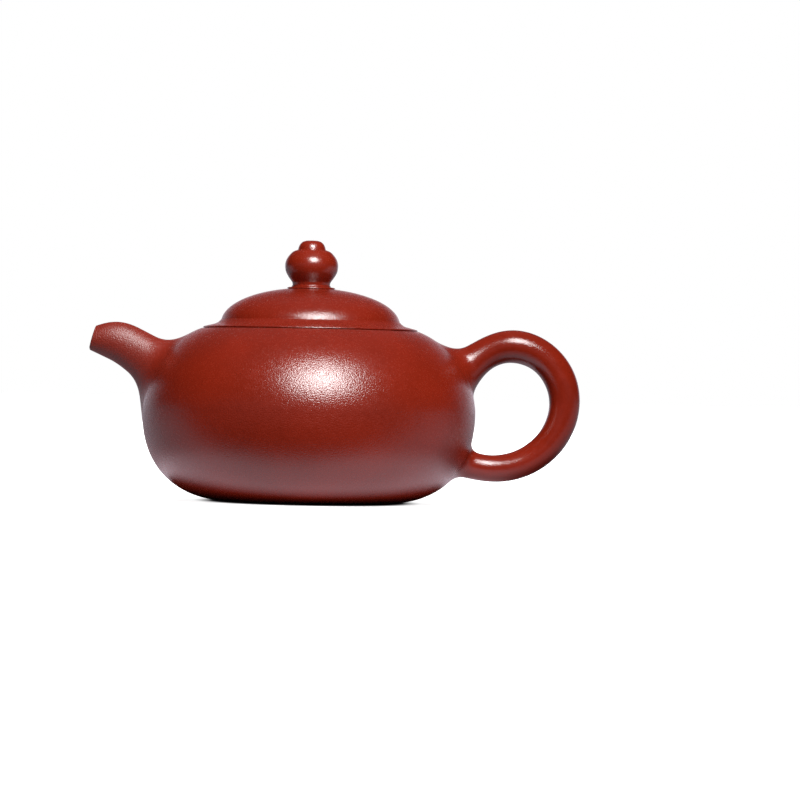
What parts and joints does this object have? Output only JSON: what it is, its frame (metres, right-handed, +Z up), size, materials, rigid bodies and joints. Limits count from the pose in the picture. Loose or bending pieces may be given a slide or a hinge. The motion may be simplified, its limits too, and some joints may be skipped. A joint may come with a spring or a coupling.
{
  "type": "clay teapot",
  "caption": "Low, round-bellied red clay teapot with a short curved spout, an ear-shaped handle and a domed lift-off lid with a bulb knob.",
  "frame": {"origin": "centre of the flat underside of the base, on the surface the pot stands on", "axes": "+Z up along the pot's turning axis and the way the lid lifts, +X from the belly out through the handle, with the spout along -X; the pot is symmetric about Y = 0"},
  "size_m": [0.113, 0.0764, 0.06],
  "materials": {
    "fine_clay": "satin unglazed red clay with a fine sandy grain",
    "burnished_clay": "burnished unglazed red clay, smoother and glossier",
    "raw_clay": "matt unglazed red clay, as fired"
  },
  "bodies": {
    "pot": {"base_disc": "fine_clay", "belly_wall": "fine_clay", "shoulder_disc": "fine_clay", "mouth_ring": "fine_clay", "spout": "fine_clay", "strainer": "raw_clay", "handle": "burnished_clay"},
    "lid": {"lid_collar": "raw_clay", "lid_brim_plate": "fine_clay", "lid_dome": "fine_clay", "knob_neck": "burnished_clay", "knob_bulb": "burnished_clay", "knob_button": "burnished_clay"}
  },
  "joints": [
    {"name": "lid_lift", "type": "slide", "parent": "pot", "child": "lid", "axis": [0, 0, 1], "range_m": [0, 0.05]}
  ]
}
